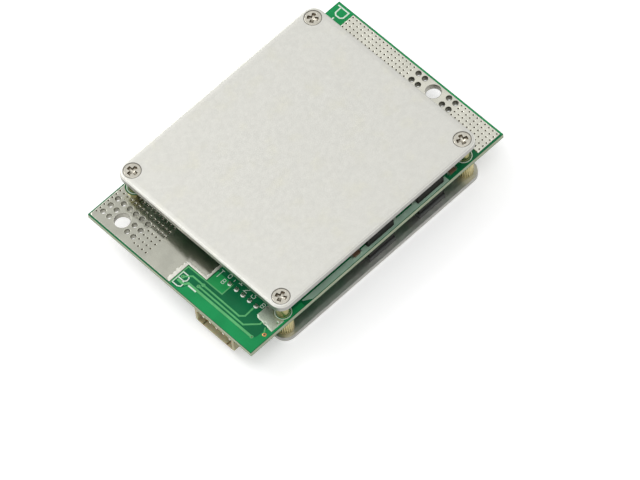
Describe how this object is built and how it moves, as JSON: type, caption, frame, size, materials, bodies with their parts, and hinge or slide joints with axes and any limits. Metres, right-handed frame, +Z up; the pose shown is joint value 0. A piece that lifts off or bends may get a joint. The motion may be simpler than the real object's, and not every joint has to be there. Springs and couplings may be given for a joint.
{
  "type": "battery management board",
  "caption": "Power circuit board held on brass standoffs between two aluminium cover plates, with tinned terminal lands at both ends and a balance header.",
  "frame": {"origin": "on the underside of the bottom cover plate, beneath the middle of the circuit board", "axes": "+X along the board towards the load terminal land, +Y across the board towards the edge with the battery bolt hole, +Z up through the stack"},
  "size_m": [0.094, 0.064, 0.0176],
  "materials": {
    "solder_mask_board": "glossy green solder mask over glass laminate, pale edges",
    "tinned_copper": "hot-tinned copper land, smooth and mirror-like",
    "solder_patch": "uneven tinned solder",
    "plate_aluminium": "fine matt grain, rolled rim",
    "nickel_screw": "nickel-plated steel",
    "plain_brass": "turned brass",
    "knurled_brass": "knurled brass",
    "header_nylon": "moulded nylon",
    "tinned_pin": "tin-plated brass",
    "solder": "bright solder",
    "thermal_pad": "soft silicone pad",
    "moulded_black": "moulded epoxy",
    "tinned_lead": "tin-plated copper",
    "chip_brown": "ceramic chip body",
    "chip_black": "coated resistor body",
    "chip_end": "tinned end cap"
  },
  "bodies": {
    "root": {"board": "solder_mask_board", "battery_land": "tinned_copper", "load_land": "tinned_copper", "corner_patch": "solder_patch", "top_plate": "plate_aluminium", "bottom_plate": "plate_aluminium", "top_screws": "nickel_screw", "bottom_screws": "nickel_screw", "upper_standoffs": "plain_brass", "lower_standoffs": "knurled_brass", "header_housing": "header_nylon", "header_pins": "tinned_pin", "header_solder": "solder", "upper_discharge_bodies": "moulded_black", "upper_discharge_tabs": "tinned_lead", "upper_discharge_leads": "tinned_lead", "upper_charge_bodies": "moulded_black", "upper_charge_tabs": "tinned_lead", "upper_charge_leads": "tinned_lead", "lower_discharge_bodies": "moulded_black", "lower_discharge_tabs": "tinned_lead", "lower_discharge_leads": "tinned_lead", "lower_charge_bodies": "moulded_black", "lower_charge_tabs": "tinned_lead", "lower_charge_leads": "tinned_lead", "upper_thermal_pads": "thermal_pad", "lower_thermal_pads": "thermal_pad", "upper_gate_resistors": "chip_brown", "upper_gate_caps": "chip_end", "lower_gate_resistors": "chip_brown", "lower_gate_caps": "chip_end", "sense_strips": "chip_black", "sense_feet": "chip_end", "balance_resistors": "chip_black", "balance_caps": "chip_end", "balance_transistors": "moulded_black", "balance_transistor_leads": "tinned_lead", "control_chip": "moulded_black", "control_chip_leads": "tinned_lead", "filter_capacitors": "chip_brown", "filter_caps": "chip_end"}
  },
  "joints": []
}
